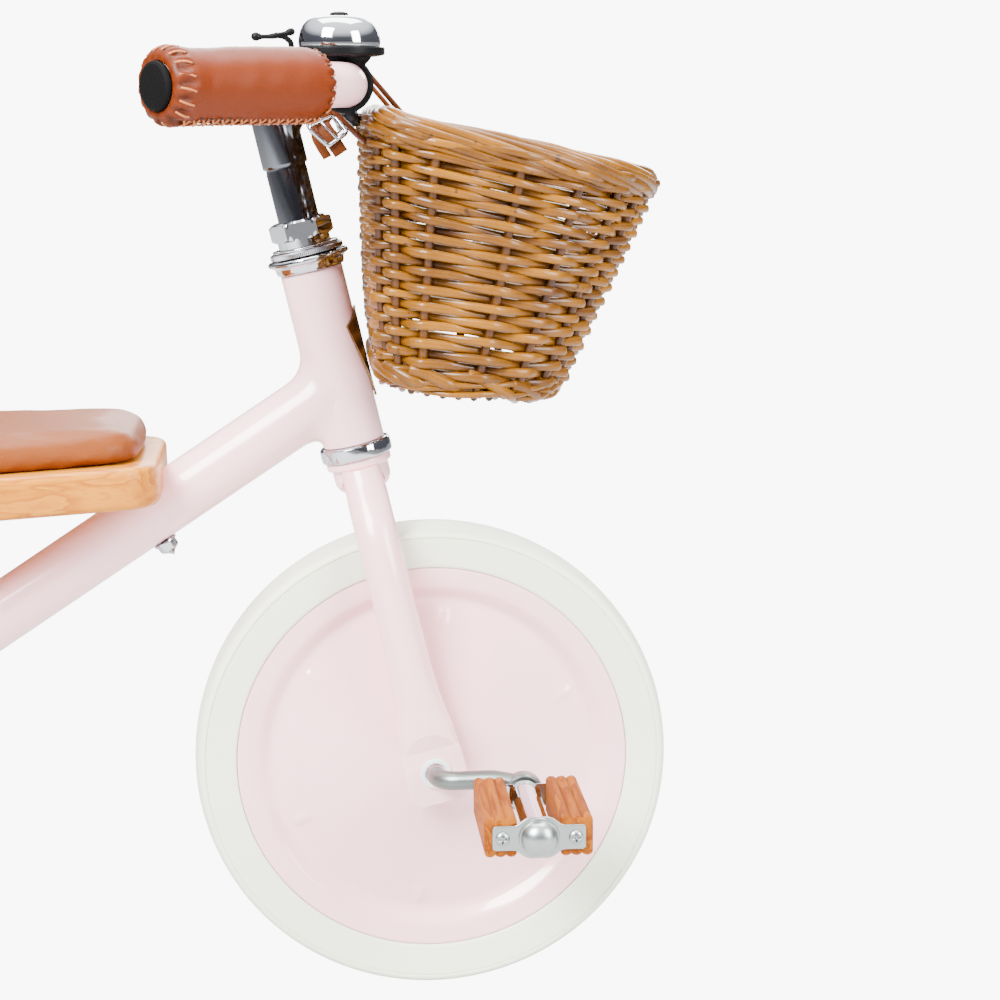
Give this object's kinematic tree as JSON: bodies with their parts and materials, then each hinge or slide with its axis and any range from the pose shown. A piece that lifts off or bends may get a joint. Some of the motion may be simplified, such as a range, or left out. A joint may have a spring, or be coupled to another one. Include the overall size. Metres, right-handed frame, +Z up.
{
  "type": "children's tricycle",
  "caption": "Child's pedal tricycle with a large front wheel, flat wooden seat with leather pad, quill-stem handlebar, bell and wicker front basket.",
  "frame": {"origin": "on the ground, halfway along the tricycle's length and on its middle plane", "axes": "+X forwards, in the riding direction; +Y to the rider's left; +Z up"},
  "size_m": [0.743, 0.4418, 0.612],
  "materials": {
    "pink_paint": "glossy pale pink paint on steel",
    "chrome": "polished chrome plate",
    "zinc": "bright zinc plated steel",
    "alloy": "polished alloy",
    "bronze": "dark bronze, plain",
    "cream_tyre": "smooth off-white rubber",
    "black_plastic": "satin black",
    "white_plastic": "natural white nylon",
    "seat_wood": "oiled pale hardwood",
    "pedal_wood": "oiled reddish hardwood",
    "tan_leather": "tan leather, stitched",
    "wicker": "varnished willow"
  },
  "bodies": {
    "frame": {"main_frame": "pink_paint", "head_badge": "bronze", "headset_upper_cup": "chrome", "headset_lower_cup": "chrome", "upper_bearing": "chrome", "lower_bearing": "chrome", "seat_board": "seat_wood", "seat_cushion": "tan_leather", "seat_front_bolt": "zinc", "seat_front_nut": "zinc", "seat_rear_bolt_left": "zinc", "seat_rear_bolt_right": "zinc", "rear_axle": "zinc", "rear_cap_nut_left": "chrome", "rear_cap_nut_right": "chrome"},
    "steering": {"fork": "pink_paint", "fork_bush_left": "white_plastic", "fork_bush_right": "white_plastic", "headset_cone": "chrome", "headset_washer": "chrome", "headset_locknut": "chrome"},
    "handlebar_set": {"stem": "alloy", "stem_wedge": "zinc", "stem_expander_bolt": "zinc", "stem_clamp_bolt": "zinc", "handlebar": "pink_paint", "grip_left": "tan_leather", "grip_right": "tan_leather", "grip_plug_left": "black_plastic", "grip_plug_right": "black_plastic", "bell_base": "black_plastic", "bell_dome": "chrome", "bell_screw": "black_plastic", "basket": "wicker", "strap_left": "tan_leather", "strap_right": "tan_leather", "buckle_left": "chrome", "buckle_right": "chrome"},
    "striker": {"bell_striker": "black_plastic"},
    "front_wheel": {"front_tyre": "cream_tyre", "front_disc_left": "pink_paint", "front_disc_right": "pink_paint", "crank": "zinc"},
    "pedal_left": {"pedal_left_block_front": "pedal_wood", "pedal_left_block_rear": "pedal_wood", "pedal_left_outer_plate": "zinc", "pedal_left_carrier": "chrome", "pedal_left_cap": "zinc"},
    "pedal_right": {"pedal_right_block_front": "pedal_wood", "pedal_right_block_rear": "pedal_wood", "pedal_right_outer_plate": "zinc", "pedal_right_carrier": "chrome", "pedal_right_cap": "zinc"},
    "rear_wheel_left": {"rear_tyre_left": "cream_tyre", "rear_disc_left": "pink_paint", "rear_bush_left": "white_plastic"},
    "rear_wheel_right": {"rear_tyre_right": "cream_tyre", "rear_disc_right": "pink_paint", "rear_bush_right": "white_plastic"}
  },
  "joints": [
    {"name": "steering_turn", "type": "hinge", "parent": "frame", "child": "steering", "pos_m": [0.2215, 0, 0.15], "axis": [-0.2284, 0, 0.9736], "range_deg": [-60, 60]},
    {"name": "bar_height", "type": "slide", "parent": "steering", "child": "handlebar_set", "axis": [-0.2284, 0, 0.9736], "range_m": [-0.02, 0.015]},
    {"name": "striker_swing", "type": "hinge", "parent": "handlebar_set", "child": "striker", "pos_m": [0.1386, -0.085, 0.5896], "axis": [0, 1, 0], "range_deg": [-14, 8], "stiffness_Nm_per_rad": 0.05},
    {"name": "front_wheel_spin", "type": "hinge", "parent": "steering", "child": "front_wheel", "pos_m": [0.2215, 0, 0.15], "axis": [0, 1, 0], "continuous": true},
    {"name": "pedal_left_spin", "type": "hinge", "parent": "front_wheel", "child": "pedal_left", "pos_m": [0.1695, 0.125, 0.155], "axis": [0, 1, 0], "continuous": true},
    {"name": "pedal_right_spin", "type": "hinge", "parent": "front_wheel", "child": "pedal_right", "pos_m": [0.2735, -0.125, 0.145], "axis": [0, 1, 0], "continuous": true},
    {"name": "rear_wheel_left_spin", "type": "hinge", "parent": "frame", "child": "rear_wheel_left", "pos_m": [-0.2835, 0.196, 0.088], "axis": [0, 1, 0], "continuous": true},
    {"name": "rear_wheel_right_spin", "type": "hinge", "parent": "frame", "child": "rear_wheel_right", "pos_m": [-0.2835, -0.196, 0.088], "axis": [0, 1, 0], "continuous": true}
  ]
}
